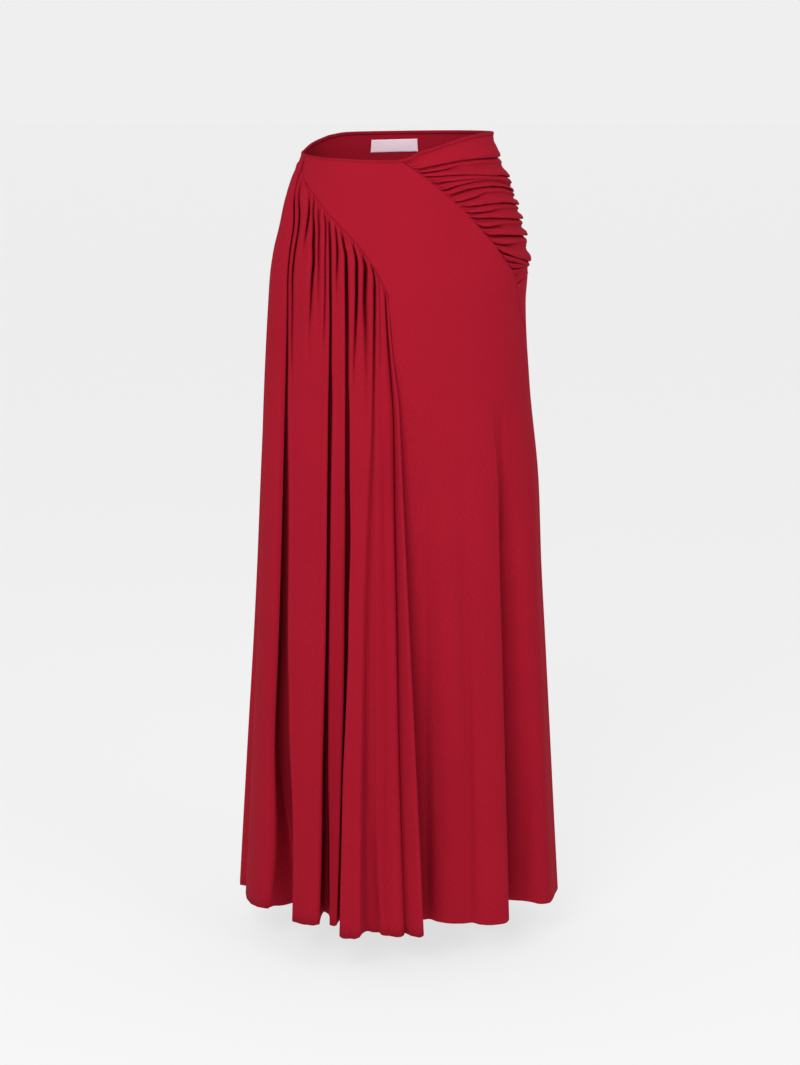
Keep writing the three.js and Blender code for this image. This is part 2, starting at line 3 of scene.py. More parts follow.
import bmesh
import bpy
import numpy as np
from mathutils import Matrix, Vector


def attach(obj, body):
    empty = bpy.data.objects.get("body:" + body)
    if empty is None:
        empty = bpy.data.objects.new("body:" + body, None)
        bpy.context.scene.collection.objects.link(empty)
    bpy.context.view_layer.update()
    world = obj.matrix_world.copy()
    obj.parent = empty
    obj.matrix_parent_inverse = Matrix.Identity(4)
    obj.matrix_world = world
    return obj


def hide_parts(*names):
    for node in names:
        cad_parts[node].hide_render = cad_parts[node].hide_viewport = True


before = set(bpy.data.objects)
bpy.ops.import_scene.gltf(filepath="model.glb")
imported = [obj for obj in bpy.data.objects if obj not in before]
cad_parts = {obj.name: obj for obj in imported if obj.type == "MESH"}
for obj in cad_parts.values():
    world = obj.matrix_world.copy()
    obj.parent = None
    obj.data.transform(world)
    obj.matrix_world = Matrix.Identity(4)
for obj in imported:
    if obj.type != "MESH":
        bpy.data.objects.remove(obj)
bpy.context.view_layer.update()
print("frame loaded")

# The camera: at the height of the waist, looking a little down, as the photograph does.
view = {"distance": 2.88, "height": 0.103, "down": 12.1, "lens": 74.43}
cameraData = bpy.data.cameras.new("camera")
cameraData.lens = view["lens"]
cameraData.sensor_width = 36
camera = bpy.data.objects.new("camera", cameraData)
camera.location = (0, -view["distance"], view["height"])
camera.rotation_euler = (math.radians(90 - view["down"]), 0, 0)
bpy.context.collection.objects.link(camera)
bpy.context.scene.camera = camera
print("camera placed")


# Shapes are worked out in millimetres. A turn is the angle round the skirt in degrees: 0 front,
# 90 right, 180 back, -90 left. A cut is how far the cloth lies inside the outer envelope.
def table(names, *rows):
    return {name: np.array([row[k] for row in rows], float) for k, name in enumerate(names.split())}


sections = table(
    "height left right front back",
    (20, 119, 118, 90, 92),
    (-12, 126, 125, 95, 97),
    (-43, 138, 138, 101, 104),
    (-74, 148, 149, 107, 111),
    (-105, 155, 158, 112, 117),
    (-136, 163, 165, 116, 122),
    (-167, 168, 166, 120, 126),
    (-203, 171, 164, 123, 129),
    (-309, 178, 170, 130, 132),
    (-443, 185, 184, 138, 139),
    (-552, 190, 189, 146, 146),
    (-663, 196, 196, 154, 153),
    (-776, 203, 203, 163, 161),
    (-890, 210, 210, 172, 169),
    (-1016, 218, 218, 182, 178),
)
waistLine = table(
    "turn height",
    (-130, 7), (-112, -2), (-96, -11), (-74, -14), (-40, -17.5), (-3, -19), (4, -16), (11, -9), (21, -3),
    (31, 3), (44, 9), (61, 13), (90, 13.5), (130, 13), (180, 11.5), (215, 10.5), (230, 7),
)
drapeSeam = table(
    "turn height",
    (-74, -14), (-70, -29), (-65, -40), (-58, -50), (-48, -64), (-35, -89), (-20, -122), (-10, -157), (-5, -186),
)
lastFoldEdge = table(
    "height turn tuck ridge",
    (-186, -5, 0, 0),
    (-260, -3, 0, -5),
    (-320, -0.5, 0.1, -6),
    (-420, 1, 0.5, -6),
    (-640, 4, 2.6, -3),
    (-890, 7, 3.8, 2),
    (-1016, 8.2, 4, 4),
)
rightSeam = table(
    "height turn",
    (-19, 1), (-28, 7), (-42, 14.5), (-59, 22.5), (-81, 32), (-100, 39), (-122, 46.5), (-140, 52.5), (-159, 60),
    (-178, 65), (-213, 70), (-245, 82), (-290, 94), (-380, 98), (-1016, 98),
)
yokeBackSeam = table("height turn", (13, 126), (-52, 120), (-103, 113), (-140, 106), (-165, 100))
yokeLowerEdge = table("turn height", (65, -178), (78, -171), (90, -167), (100, -165))
hemHeight = -1016
hemZone = 45  # how far above the hem its corners are rounded
leftSideSeam = -100
edgeHeight = 3.5
edgeGap = -2.4  # the panels run up inside the folded edge
seamGap = 0.08


def ease(t):
    t = np.clip(t, 0, 1)
    return t * t * (3 - 2 * t)


def mix(a, b, t):
    return a + (b - a) * t


# Smooth reading of a table, without overshoot.
def read(rows, source, wanted, at):
    x, y = rows[source], rows[wanted]
    if x[-1] < x[0]:
        x, y = x[::-1], y[::-1]
    slopes = np.diff(y) / np.diff(x)
    product = slopes[:-1] * slopes[1:]
    total = slopes[:-1] + slopes[1:]
    middle = np.where(product > 0, 2 * product / np.where(total == 0, 1, total), 0)
    tangents = np.concatenate([[slopes[0]], middle, [slopes[-1]]])
    at = np.clip(at, x[0], x[-1])
    k = np.clip(np.searchsorted(x, at, side="right") - 1, 0, len(x) - 2)
    span = x[k + 1] - x[k]
    t = (at - x[k]) / span
    return (
        mix(y[k], y[k + 1], t * t * (3 - 2 * t))
        + span * tangents[k] * t * (1 - t) ** 2
        - span * tangents[k + 1] * t * t * (1 - t)
    )


def straight(rows, source, wanted, at):
    x, y = rows[source], rows[wanted]
    return np.interp(at, x, y) if x[-1] > x[0] else np.interp(at, x[::-1], y[::-1])


def waistHeight(turn):
    turn = np.asarray(turn, float)
    return read(waistLine, "turn", "height", np.where(turn > 230, turn - 360, turn))


# A point of the cloth. On the front, cuts go mostly straight back, as the folds hang there, and quite
# straight back where lean is 0.
def place(turn, height, cut, lean=1.0):
    turn, height, cut, lean = np.broadcast_arrays(*(np.asarray(v, float) for v in (turn, height, cut, lean)))
    angle = np.radians(turn)
    left, right, front, back = (read(sections, "height", name, height) for name in ("left", "right", "front", "back"))
    side = np.where(np.sin(angle) < 0, left, right)
    depth = np.where(np.cos(angle) > 0, front, back)
    aim = np.radians(np.where(np.abs(turn) <= 90, turn * np.abs(turn) / 90, turn)) * lean
    return np.stack(
        [np.sin(angle) * side - cut * np.sin(aim), cut * np.cos(aim) - np.cos(angle) * depth, height], -1
    )


# Points between the given ones on smooth curves, along one axis of a grid.
def refine(points, steps, axis):
    points = np.moveaxis(points, axis, 0)
    count = len(points)
    padded = np.concatenate([2 * points[:1] - points[1:2], points, 2 * points[-1:] - points[-2:-1]])
    at = np.linspace(0, count - 1, (count - 1) * steps + 1)
    k = np.minimum(at.astype(int), count - 2)
    t = (at - k).reshape((-1,) + (1,) * (points.ndim - 1))
    before, here, there, after = (padded[k + j] for j in range(4))
    out = 0.5 * (
        2 * here
        + (there - before) * t
        + (2 * before - 5 * here + 4 * there - after) * t * t
        + (3 * here - before - 3 * there + after) * t ** 3
    )
    return np.moveaxis(out, 0, axis)


def normalsOf(points):
    across = np.gradient(points, axis=0)
    down = np.gradient(points, axis=1)
    normal = np.cross(down, across)
    return normal / np.maximum(np.linalg.norm(normal, axis=2, keepdims=True), 1e-9)


def lengthsAlong(points, axis):
    step = np.linalg.norm(np.diff(points, axis=axis), axis=2)
    zero = np.zeros_like(np.take(step, [0], axis=axis))
    return np.cumsum(np.concatenate([zero, step], axis=axis), axis=axis)


# The hem lifts a little where the cloth turns back into a fold, so that its corners are round.
def roundHem(points, lift, spread):
    hem = points[:, -1, :2]
    ahead = np.gradient(hem, axis=0)
    ahead /= np.maximum(np.linalg.norm(ahead, axis=1, keepdims=True), 1e-9)
    angle = np.arctan2(hem[:, 0], -hem[:, 1])
    sideways = np.stack([np.cos(angle), np.sin(angle)], 1)
    turned = 1 - np.abs((ahead * sideways).sum(1))
    along = np.concatenate([[0], np.cumsum(np.linalg.norm(np.diff(hem, axis=0), axis=1))])
    weight = np.exp(-((along[:, None] - along[None, :]) / spread) ** 2) * np.gradient(along)[None, :]
    up = lift * (weight * turned[None, :]).sum(1) / weight.sum(1)
    near = ease((hemHeight + hemZone - points[..., 2]) / hemZone)
    points = points.copy()
    points[..., 2] += up[:, None] * near
    return points


# Repeatable unevenness along a line: a sum of five waves.
def waver(at, seed, scale=1.0):
    total = 0
    for k in range(1, 6):
        phase = math.sin(seed * 12.9898 + k * 78.233) * 43.7  # far apart for each seed and wave
        total = total + np.sin(at * scale * k * 0.9 + phase) / k
    return total / 2.2


# Gathers along a seam: round ridges with sharp furrows between them, uneven in size. 0 at a ridge's top.
def gathers(along, pitch, seed, breadth=0.65):
    phase = along * math.pi / pitch + 0.8 * np.sin(along * 0.2 + seed)
    uneven = 0.75 + 0.25 * np.sin(along * 0.37 + 2 * seed)
    return (np.abs(np.sin(phase)) ** breadth - 1) * uneven


# A sheet of cloth on a grid of points in millimetres, with its flat measure in metres as its UV.
def sheetPiece(name, points, thickness, material):
    across, down = points.shape[0], points.shape[1]
    mesh = bpy.data.meshes.new(name)
    bm = bmesh.new()
    bmesh.ops.create_grid(bm, x_segments=across - 1, y_segments=down - 1, size=0.5)
    bm.verts.ensure_lookup_table()
    order = {}
    for vert in bm.verts:
        i = round((vert.co.x + 0.5) * (across - 1))
        j = round((0.5 - vert.co.y) * (down - 1))
        order[vert] = (i, j)
    wide = lengthsAlong(points, 0) / 1000
    long = lengthsAlong(points, 1) / 1000
    middle = across // 2
    flat = points / 1000
    for vert, (i, j) in order.items():
        vert.co = flat[i, j]
    uvLayer = bm.loops.layers.uv.new("cloth")
    for face in bm.faces:
        face.smooth = True
        for loop in face.loops:
            i, j = order[loop.vert]
            loop[uvLayer].uv = (wide[i, down // 2], long[middle, j])
    bmesh.ops.remove_doubles(bm, verts=bm.verts, dist=0.00001)
    bmesh.ops.recalc_face_normals(bm, faces=bm.faces)
    bm.faces.ensure_lookup_table()
    face = bm.faces[len(bm.faces) // 2]
    centre = face.calc_center_median()
    if face.normal.dot(Vector((centre.x, centre.y, 0))) < 0:
        bmesh.ops.reverse_faces(bm, faces=bm.faces)
    bm.to_mesh(mesh)
    bm.free()
    piece = bpy.data.objects.new(name, mesh)
    bpy.context.collection.objects.link(piece)
    mesh.materials.append(material)
    solid = piece.modifiers.new("thickness", "SOLIDIFY")
    solid.thickness = thickness / 1000
    solid.offset = 0
    solid.use_even_offset = False
    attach(piece, "root")
    return piece


def areaOf(points):
    one = np.cross(points[1:, :-1] - points[:-1, :-1], points[:-1, 1:] - points[:-1, :-1])
    two = np.cross(points[1:, 1:] - points[1:, :-1], points[:-1, 1:] - points[1:, 1:])
    return (np.linalg.norm(one, axis=2).sum() + np.linalg.norm(two, axis=2).sum()) / 2e6


# Fine matte jersey: a red with faint cloudiness and specks, and the knit's wales and courses as bump.
def jersey(name, colour, knit):
    material = bpy.data.materials.new(name)
    material.use_nodes = True
    nodes, links = material.node_tree.nodes, material.node_tree.links
    shader = nodes["Principled BSDF"]
    shader.inputs["Roughness"].default_value = knit["roughness"]
    shader.inputs["Specular IOR Level"].default_value = knit["specular"]
    coords = nodes.new("ShaderNodeTexCoord")
    cloud = nodes.new("ShaderNodeTexNoise")
    cloud.inputs["Scale"].default_value = knit["cloud"]
    cloud.inputs["Detail"].default_value = 3
    links.new(coords.outputs["Object"], cloud.inputs["Vector"])
    ramp = nodes.new("ShaderNodeValToRGB")
    ramp.color_ramp.elements[0].position = 0.3
    ramp.color_ramp.elements[1].position = 0.7
    ramp.color_ramp.elements[0].color = (*[c * knit["darker"] for c in colour], 1)
    ramp.color_ramp.elements[1].color = (*[min(1, c * knit["lighter"]) for c in colour], 1)
    links.new(cloud.outputs["Fac"], ramp.inputs["Fac"])
    grain = nodes.new("ShaderNodeTexNoise")
    grain.inputs["Scale"].default_value = knit["grain"]
    grain.inputs["Detail"].default_value = 2
    links.new(coords.outputs["UV"], grain.inputs["Vector"])
    speck = nodes.new("ShaderNodeMix")
    speck.data_type = "RGBA"
    speck.blend_type = "MULTIPLY"
    speck.inputs["Factor"].default_value = knit["speck"]
    links.new(ramp.outputs["Color"], speck.inputs["A"])
    links.new(grain.outputs["Fac"], speck.inputs["B"])
    links.new(speck.outputs["Result"], shader.inputs["Base Color"])
    split = nodes.new("ShaderNodeSeparateXYZ")
    links.new(coords.outputs["UV"], split.inputs["Vector"])
    waves = []
    for axis, pitch in (("X", knit["wale"]), ("Y", knit["course"])):
        turnRate = nodes.new("ShaderNodeMath")
        turnRate.operation = "MULTIPLY"
        turnRate.inputs[1].default_value = 2 * math.pi / pitch
        links.new(split.outputs[axis], turnRate.inputs[0])
        wave = nodes.new("ShaderNodeMath")
        wave.operation = "SINE"
        links.new(turnRate.outputs[0], wave.inputs[0])
        waves.append(wave)
    both = nodes.new("ShaderNodeMath")
    both.operation = "MULTIPLY_ADD"
    both.inputs[1].default_value = knit["courseShare"]
    links.new(waves[1].outputs[0], both.inputs[0])
    links.new(waves[0].outputs[0], both.inputs[2])
    bump = nodes.new("ShaderNodeBump")
    bump.inputs["Strength"].default_value = knit["bump"]
    bump.inputs["Distance"].default_value = knit["relief"]
    links.new(both.outputs[0], bump.inputs["Height"])
    links.new(bump.outputs["Normal"], shader.inputs["Normal"])
    return material


knit = {
    "roughness": 0.92, "specular": 0.05,
    "cloud": 9, "darker": 0.965, "lighter": 1.03,  # soft clouds of a darker and a lighter red
    "grain": 430, "speck": 0.4,
    "wale": 0.0009, "course": 0.0007, "courseShare": 0.6, "bump": 0.2, "relief": 0.0002,
}
reds = {"cloth": (0.36, 0.0082, 0.023), "edge": (0.33, 0.0075, 0.021)}
redCloth = jersey("red_cloth", reds["cloth"], knit)
redEdge = jersey("red_edge", reds["edge"], {**knit, "bump": 0.4})
print("cloth materials made")


def tuckedSeam(height):
    return read(lastFoldEdge, "height", "turn", height) - read(lastFoldEdge, "height", "tuck", height)


def drapeTop(turn):
    seam = read(drapeSeam, "turn", "height", turn)
    edge = waistHeight(turn) - edgeHeight - edgeGap
    return np.where(turn < drapeSeam["turn"][0], edge, np.minimum(seam, edge))


seamTurns = np.linspace(drapeSeam["turn"][0], drapeSeam["turn"][-1], 600)
seamHeights = read(drapeSeam, "turn", "height", seamTurns)


def drapeSeamTurn(height):
    return np.interp(-height, -seamHeights, seamTurns)


# Front panel: lines down the cloth where it hangs free, with their cuts by the knee and at the hem.
frontPanel = {
    "thickness": 0.9, "across": 9, "down": 5,
    "knee": -330, "kneeLong": 420, "foot": -640, "footPower": 1.15,  # where the folds open, and open more
    "early": -300, "earlyLong": 330, "earlyFrom": 43.5,  # the deep fold opens sooner than the rest
    "startDeep": 3, "startWide": 1.7, "startTurns": (50.5, 47.2),  # its narrow start, above
    "roll": 0.9, "rollWide": 1.6,  # edges turned in at the seams
    "pullLeft": 0.22, "pullRight": 0.25, "pullReach": 9,
    "hemLift": 4.5, "hemSpread": 4.5,
}
frontLines = table(
    "turn low hem",
    (9.5, 22, 59),  # hollow beside the last fold
    (13, 16, 48),
    (18, 9, 38),
    (22.5, 8, 33),
    (26, 10, 29),  # soft valley
    (29.5, 3, 18),
    (35, 0, 9),
    (40, 0, 6),
    (43.2, 3, 12),  # lip of the deep fold
    (44.6, 20, 42),
    (47.5, 33, 74),  # its floor
    (53, 24, 60),
    (59.5, 10, 38),
    (64.5, 3, 12),
    (71, 0, 2),
    (80, 2, 3),
    (89, 0, 0),
)


def frontCut(turn, height):
    turn = np.asarray(turn, float)
    shape = turn.shape
    turn, height = (np.ravel(v) for v in np.broadcast_arrays(turn, np.asarray(height, float)))
    out = np.zeros_like(turn)
    for level in np.unique(height):
        here = height == level
        knee = ease((frontPanel["knee"] - level) / frontPanel["kneeLong"])
        early = ease((frontPanel["early"] - level) / frontPanel["earlyLong"])
        foot = np.clip((frontPanel["foot"] - level) / (frontPanel["foot"] - hemHeight), 0, 1)
        foot = foot ** frontPanel["footPower"]
        first = float(tuckedSeam(level)) - 3
        turns = np.concatenate([[first], frontLines["turn"], [98]])
        low = np.concatenate([[22], frontLines["low"], [0]])
        hem = np.concatenate([[60], frontLines["hem"], [0]])
        cuts = low * np.where(turns > frontPanel["earlyFrom"], early, knee) + (hem - low) * foot
        keep = (np.arange(len(turns)) == 0) | (turns > first + 1)
        out[here] = read({"turn": turns[keep], "cut": cuts[keep]}, "turn", "cut", turn[here])
        fresh = ease((frontPanel["early"] - level) / 115) * (1 - ease((-455 - level) / 190))
        middle = mix(*frontPanel["startTurns"], ease((frontPanel["early"] - level) / 130))
        groove = np.exp(-((turn[here] - middle) / frontPanel["startWide"]) ** 2)
        out[here] += frontPanel["startDeep"] * fresh * groove
    return out.reshape(shape)


def makeFront():
    heights = np.concatenate([
        [-17, -21, -25, -30, -36, -44, -55, -67, -80, -95, -112, -130, -148, -164, -178, -189, -205, -224, -245],
        [-268, -295, -330, -375, -430, -495, -565, -640, -715, -795, -870, -945, -1000, hemHeight],
    ]).astype(float)
    heights = refine(heights[:, None], frontPanel["down"], 0)[:, 0]
    gapTurn = math.degrees(seamGap / 125)
    above = drapeSeamTurn(heights) + gapTurn * 2
    openTurn = gapTurn * 2 * (1 - ease((-222 - heights) / 20))
    below = tuckedSeam(heights) + openTurn - math.degrees(1.6 / 150) * ease((-232 - heights) / 40)
    left = np.where(heights > lastFoldEdge["height"][0], above, below)
    right = read(rightSeam, "height", "turn", heights) - gapTurn
    count = len(frontLines["turn"]) + 1
    hanging = np.concatenate([[0], frontLines["turn"], [0]])
    lines = np.linspace(0, count, count * frontPanel["across"] + 1)
    free = np.interp(lines, np.arange(count + 1), hanging)
    let = ease((-200 - heights) / 190)
    turns = np.empty((len(lines), len(heights)))
    for i, line in enumerate(lines):
        share = line / count
        if line <= 1:
            target = mix(left, hanging[1], line)
        elif line >= count - 1:
            target = mix(hanging[-2], right, line - count + 1)
        else:
            target = free[i] + 0 * left
        turns[i] = mix(mix(left, right, share), target, let)
    level = np.broadcast_to(heights, turns.shape)
    top = waistHeight(turns[:, 0]) - edgeHeight - edgeGap
    shift = (top - heights[0])[:, None] * ease((heights - (-60)) / 43)[None, :] ** 2
    height = level + shift
    points = place(turns, height, frontCut(turns, level))
    normal = normalsOf(points)
    fromLeft = lengthsAlong(points, 0)
    fromRight = fromLeft[-1:] - fromLeft
    wide, reach = frontPanel["rollWide"], frontPanel["pullReach"]
    roll = -frontPanel["roll"] * (np.exp(-fromLeft / wide) * (level > -190) + np.exp(-fromRight / wide))
    # Faint puckers where the gathered pieces pull on the smooth one.
    along = lengthsAlong(points, 1)
    pullLeft = frontPanel["pullLeft"] * waver(along[:1], 3, 1.1) * np.exp(-fromLeft / reach) * (level > -200)
    pullRight = frontPanel["pullRight"] * waver(along[-1:], 7, 1.0) * np.exp(-fromRight / reach) * (level > -180)
    return points + normal * (roll + pullLeft + pullRight)[..., None]


frontPoints = roundHem(makeFront(), frontPanel["hemLift"], frontPanel["hemSpread"])
frontPiece = sheetPiece("frontPanel", frontPoints, frontPanel["thickness"], redCloth)
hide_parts("front_panel")
print("front panel made", round(areaOf(frontPoints), 3))

# The gathered drape. Each fold has its turn on the seam, the cut of the ridge after it, and its line going
# down: turn, widths of the left and right flanks in degrees, depth, and how square its floor is.
drape = {
    "thickness": 0.8, "rows": 66, "down": 2, "crowding": 2.0,
    "puff": 3.5, "lip": -8, "early": 0.7,  # fullness below the seam, the last fold's lip, depth added near the seam
    "pucker": 4.6, "pitch": 6.6, "turnIn": -1.5,
    "nub": 3.4, "notch": -1.3, "nubTurn": -77,  # the bunched end of the gathers, at the left of the waist
    "hemLift": 5.5, "hemSpread": 3.6,
}
hemRises = table("beside lift spread", (-178, 6.5, 15), (-112, 3, 11))  # where the hem hangs a little higher
folds = []


def fold(name, seam, ridge, *rows):
    folds.append({"name": name, "seam": seam, "ridge": ridge,
                  "line": table("height turn left right deep flat", *rows)})


fold("softSide", -89, 4,
     (-60, -88, 3, 3, 0, 0), (-400, -88, 4, 5, 3, 0), (-700, -88, 4.5, 6, 6, 0), (-1016, -87.5, 4.5, 6, 10, 0))
fold("firstDeep", -70, 9,
     (-63, -66.5, 1.6, 1.5, 6, 0), (-107, -60.5, 1.5, 1.3, 7, 0), (-168, -58, 1.4, 1.2, 7, 0),
     (-222, -56.4, 1.2, 1.2, 9, 0.1), (-298, -55.2, 1, 1.6, 13, 0.4), (-375, -55, 0.7, 2.9, 19, 0.6),
     (-450, -54.8, 0.6, 4.2, 24, 0.8), (-640, -54.4, 0.8, 5.8, 34, 0.9), (-741, -54, 1.2, 7.8, 38, 0.92),
     (-861, -51.8, 1.8, 8.6, 44, 0.9), (-940, -50.4, 3.2, 8, 46, 0.7), (-1016, -49, 6.4, 6.9, 46, 0.4))
fold("besideFirst", -65, 9,
     (-58, -62.5, 1.5, 1.4, 6, 0), (-89, -57.2, 1.3, 1.4, 8, 0), (-120, -55.4, 1.2, 1.4, 8, 0),
     (-158, -54.6, 1.2, 1.4, 8, 0), (-196, -53.4, 1, 1.4, 6, 0), (-250, -52.3, 0.8, 1.2, 4, 0),
     (-310, -51, 0.6, 0.8, 0, 0), (-450, -47.4, 0.4, 0.4, 0, 0), (-640, -46, 0.4, 0.4, 0, 0),
     (-741, -43.6, 0.4, 0.4, 0, 0), (-861, -40.8, 0.3, 0.3, 0, 0), (-1016, -40, 0.3, 0.3, 0, 0))
fold("shortOne", -54, 9,
     (-70, -51, 1.3, 1.3, 4, 0), (-85, -49.5, 1.2, 1.2, 10, 0.1), (-104, -49.3, 1.2, 1.2, 6, 0),
     (-124, -49, 1.2, 1.2, 1.5, 0), (-150, -48.5, 1.1, 1.1, 0, 0), (-330, -47, 0.8, 0.8, 0, 0),
     (-640, -42.6, 0.3, 0.3, 0, 0), (-861, -39.2, 0.2, 0.2, 0, 0), (-1016, -38.3, 0.2, 0.2, 0, 0))
fold("shortTwo", -49, 9,
     (-78, -46.6, 1.3, 1.3, 6, 0), (-118, -43.4, 1.2, 1.2, 11, 0.2), (-153, -41.2, 1.1, 1.1, 12, 0.2),
     (-190, -41.2, 1.2, 1.2, 6, 0), (-240, -41.4, 1.4, 1.4, 2, 0), (-310, -41.4, 1.4, 1.4, 0, 0),
     (-640, -40, 0.3, 0.3, 0, 0), (-1016, -36.8, 0.2, 0.2, 0, 0))
fold("shortThree", -44.5, 9,
     (-84, -43, 1, 1.1, 4, 0), (-118, -40, 1.1, 1.2, 3.6, 0), (-167, -37.6, 1.2, 1.3, 2.4, 0),
     (-220, -37.3, 1.4, 1.4, 1, 0), (-300, -37.4, 1.4, 1.4, 0, 0), (-640, -37.4, 0.3, 0.3, 0, 0),
     (-1016, -35.5, 0.2, 0.2, 0, 0))
fold("shortFour", -40.5, 9,
     (-99, -37.4, 1, 1, 4, 0), (-136, -35.2, 0.9, 0.9, 3.2, 0), (-180, -33.8, 0.9, 0.8, 3.4, 0),
     (-220, -33.6, 0.9, 0.8, 3, 0), (-270, -34, 0.8, 0.6, 0, 0), (-640, -34, 0.3, 0.3, 0, 0),
     (-1016, -34, 0.2, 0.2, 0, 0))
fold("middleDeep", -36.5, 22,
     (-95, -34, 1.1, 1.1, 7, 0), (-135, -32.5, 1, 1, 8, 0), (-166, -31.4, 0.9, 0.9, 9, 0.2),
     (-219, -30.5, 0.8, 0.8, 12, 0.5), (-267, -30.1, 0.8, 0.8, 16, 0.8), (-318, -29.7, 1.1, 1.1, 24, 1),
     (-450, -29.4, 0.95, 0.95, 30, 1), (-628, -29, 0.85, 0.85, 34, 1), (-786, -28.6, 1.2, 1.2, 38, 1),
     (-905, -27.7, 1.6, 1.6, 42, 1), (-1016, -27.2, 2, 2, 44, 1))
fold("shortFive", -33, 22,
     (-106, -31, 0.9, 1, 7, 0), (-134, -28.9, 0.9, 1.1, 6, 0), (-170, -28.2, 0.8, 1.2, 1.5, 0),
     (-240, -27.4, 0.6, 0.8, 0, 0), (-330, -25.8, 0.5, 0.5, 0, 0), (-640, -25, 0.4, 0.4, 0, 0),
     (-1016, -23.6, 0.4, 0.4, 0, 0))
fold("lapDeep", -28.5, -12,
     (-123, -26.1, 0.9, 0.9, 8, 0), (-136, -24.6, 0.9, 0.9, 11, 0.2), (-166, -23.6, 1, 1, 15, 0.6),
     (-229, -22.7, 0.95, 0.95, 15, 0.7), (-291, -22.2, 0.9, 0.9, 16, 0.7), (-342, -21.7, 1.1, 1.1, 20, 0.9),
     (-419, -21.3, 1.1, 1.1, 26, 1), (-496, -20.8, 1.25, 1.25, 30, 1), (-573, -20.9, 1.05, 1.05, 31, 1),
     (-651, -20.8, 0.95, 0.95, 32, 1), (-717, -20.9, 0.8, 0.6, 32, 0.9), (-783, -20.9, 1, 0, 33, 0.8),
     (-900, -20.4, 1.8, -0.7, 35, 0.5), (-1016, -20, 2.6, -1.2, 36, 0.3))
fold("joinsLap", -23, -12,
     (-130, -20.4, 1, 1, 6, 0), (-146, -19.2, 0.9, 0.9, 12, 0.3), (-191, -18.7, 0.9, 0.9, 13, 0.4),
     (-218, -18.8, 0.9, 0.9, 9, 0.1), (-245, -19, 0.8, 0.9, 5, 0), (-275, -19.3, 0.6, 0.9, 2, 0),
     (-320, -19, 0.4, 0.8, 0, 0), (-640, -18, 0.3, 0.3, 0, 0), (-1016, -17, 0.3, 0.3, 0, 0))
fold("shortSix", -18, -12,
     (-140, -16, 1.1, 1.1, 5, 0), (-155, -15, 1.2, 1.2, 12, 0.2), (-190, -15, 1.3, 1.3, 10, 0),
     (-230, -14.4, 1.3, 1.3, 5, 0), (-290, -14, 1.3, 1.3, 2.5, 0), (-345, -14, 1.3, 1.3, 1, 0),
     (-410, -14.6, 0.8, 0.8, 0, 0), (-1016, -14.8, 0.3, 0.3, 0, 0))
fold("longSoft", -13.5, 4,
     (-164, -10.8, 1, 1, 8, 0), (-200, -10.7, 0.9, 0.9, 8, 0), (-240, -10.7, 0.9, 0.9, 6, 0),
     (-341, -10.8, 1.1, 1.1, 4.5, 0), (-494, -11.8, 1.8, 1.8, 5.5, 0), (-675, -12.4, 2.6, 2.6, 7, 0),
     (-807, -12.4, 3.6, 3.4, 10, 0), (-940, -11.2, 4.3, 3.6, 15, 0.4), (-1016, -10, 4.6, 3.8, 19, 0.5))
fold("lowSoft", -9.8, 3,
     (-170, -8.6, 0.9, 0.9, 2, 0), (-300, -7.6, 1.2, 1.2, 0.6, 0), (-494, -6.2, 1.6, 1.6, 2, 0),
     (-700, -6, 1.6, 1.8, 2.6, 0), (-965, -6, 1.6, 2, 2.4, 0), (-1016, -4, 1.6, 1.6, 2, 0))
fold("lastCrease", -6.8, 3,
     (-190, -6.1, 0.6, 0.5, 3, 0), (-217, -5.6, 0.6, 0.6, 3.5, 0), (-277, -4, 0.5, 0.7, 4, 0),
     (-340, -2.6, 0.45, 1, 4.5, 0), (-468, -2, 0.4, 1.2, 5, 0.2), (-609, -1.1, 0.4, 1.4, 5.5, 0.2),
     (-753, -0.4, 0.4, 1.6, 6, 0.2), (-898, 0.7, 0.4, 1.8, 6.5, 0.2), (-1016, 1.8, 0.5, 2, 7, 0.2))


# What a fold's line says at some heights, for a column of cloth that starts at a given height.
def readFold(k, wanted, heights, top):
    line = folds[k]["line"]
    below = line["height"] < top - 14
    first = {"turn": folds[k]["seam"], "left": 1.4, "right": 1.4, "deep": 3, "flat": 0}[wanted]
    rows = {"height": np.concatenate([[top], line["height"][below]]),
            wanted: np.concatenate([[first], line[wanted][below]])}
    return read(rows, "height", wanted, heights)


def growing(heights):
    return ease((-230 - heights) / 786)


def foldColumn(k, side):
    def where(heights, top):
        leftRidge = folds[k - 1]["ridge"] if k else -4
        middle = readFold(k, "turn", heights, top)
        if side < 0:
            beside = readFold(k - 1, "turn", heights, top) if k else leftSideSeam + 0 * heights
        else:
            beside = readFold(k + 1, "turn", heights, top) if k + 1 < len(folds) else middle + 3
        room = np.abs(beside - middle) * mix(0.42, 0.84, ease((-170 - heights) / 130))
        reach = np.minimum(readFold(k, "left" if side < 0 else "right", heights, top), room)
        share = abs(side)
        flat = readFold(k, "flat", heights, top)
        profile = np.maximum(1 - share ** (1.1 + 2 * flat), 0) ** (1.45 - flat)
        below = top - heights
        deep = readFold(k, "deep", heights, top) * ease(below / 19) * (1 + drape["early"] * ease((170 - below) / 120))
        ridge = leftRidge if side < 0 else folds[k]["ridge"]
        base = mix((leftRidge + folds[k]["ridge"]) / 2, ridge, ease(share))
        return middle + side * reach, base * growing(heights) + deep * profile

    return where


